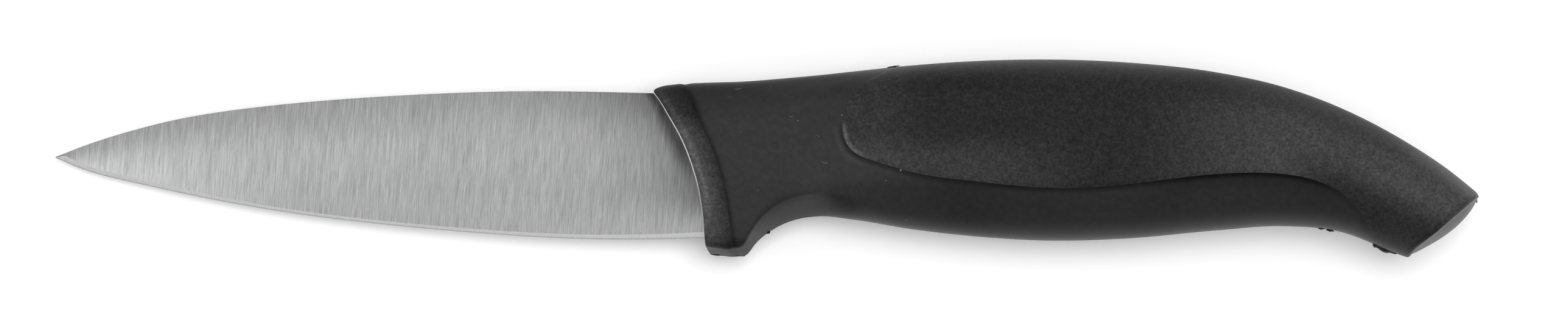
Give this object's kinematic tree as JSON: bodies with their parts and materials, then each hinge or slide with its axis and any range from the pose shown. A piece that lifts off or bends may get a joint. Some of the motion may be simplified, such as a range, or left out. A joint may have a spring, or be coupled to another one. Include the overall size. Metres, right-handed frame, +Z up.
{
  "type": "paring knife",
  "caption": "Paring knife with a ground steel blade, a hard textured core handle and a soft grip that forms the guard, finger notch and belly.",
  "frame": {"origin": "middle of the knife's box in length and depth, on the surface that the knife lies on", "axes": "+X from the blade tip to the butt, +Y from the cutting edge to the spine, +Z up, across the blade"},
  "size_m": [0.196, 0.027, 0.0184],
  "materials": {
    "steel": "ground across the blade, with fine satin streaks",
    "hard_plastic": "black, fine spark-textured",
    "soft_elastomer": "black, smooth matt"
  },
  "bodies": {
    "root": {"blade": "steel", "handle_core": "hard_plastic", "soft_grip": "soft_elastomer"}
  },
  "joints": []
}
